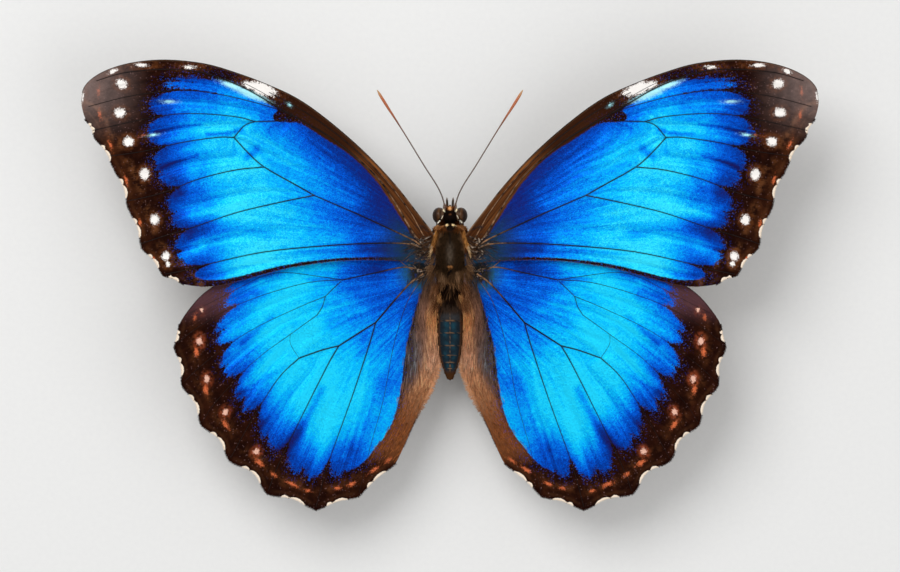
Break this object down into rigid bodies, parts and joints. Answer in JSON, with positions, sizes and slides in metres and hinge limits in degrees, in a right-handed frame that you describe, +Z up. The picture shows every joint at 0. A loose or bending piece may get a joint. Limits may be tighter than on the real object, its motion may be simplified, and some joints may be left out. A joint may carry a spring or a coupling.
{
  "type": "blue morpho butterfly",
  "caption": "Life-size blue morpho butterfly with spread blue wings bordered in dark brown, standing on its walking legs.",
  "frame": {"origin": "on the floor, under the middle of the whole insect's length and span", "axes": "+X to the insect's right along the wing span, +Y towards the head, +Z up"},
  "size_m": [0.1202, 0.074, 0.0168],
  "materials": {
    "wing_scales": "iridescent blue scales with a satin glint, chocolate brown border with pale spots, brown underside with ringed eyespots",
    "body_hair": "dense dark brown hair",
    "rust_hair": "rust brown hair and scales",
    "abdomen_scales": "matt slate and tan scales in rings",
    "eye": "glossy dark brown facets",
    "leg_cuticle": "satin brown cuticle with short scales",
    "antenna_club": "satin rust orange cuticle"
  },
  "bodies": {
    "root": {"thorax": "body_hair", "collar": "rust_hair", "abdomen": "abdomen_scales", "head": "body_hair", "proboscis": "leg_cuticle", "eye_left": "eye", "palp_left": "rust_hair", "antenna_left": "leg_cuticle", "antenna_club_left": "antenna_club", "forewing_left": "wing_scales", "hindwing_left": "wing_scales", "tegula_left": "rust_hair", "foreleg_left": "leg_cuticle", "midleg_left": "leg_cuticle", "hindleg_left": "leg_cuticle", "eye_right": "eye", "palp_right": "rust_hair", "antenna_right": "leg_cuticle", "antenna_club_right": "antenna_club", "forewing_right": "wing_scales", "hindwing_right": "wing_scales", "tegula_right": "rust_hair", "foreleg_right": "leg_cuticle", "midleg_right": "leg_cuticle", "hindleg_right": "leg_cuticle"}
  },
  "joints": []
}
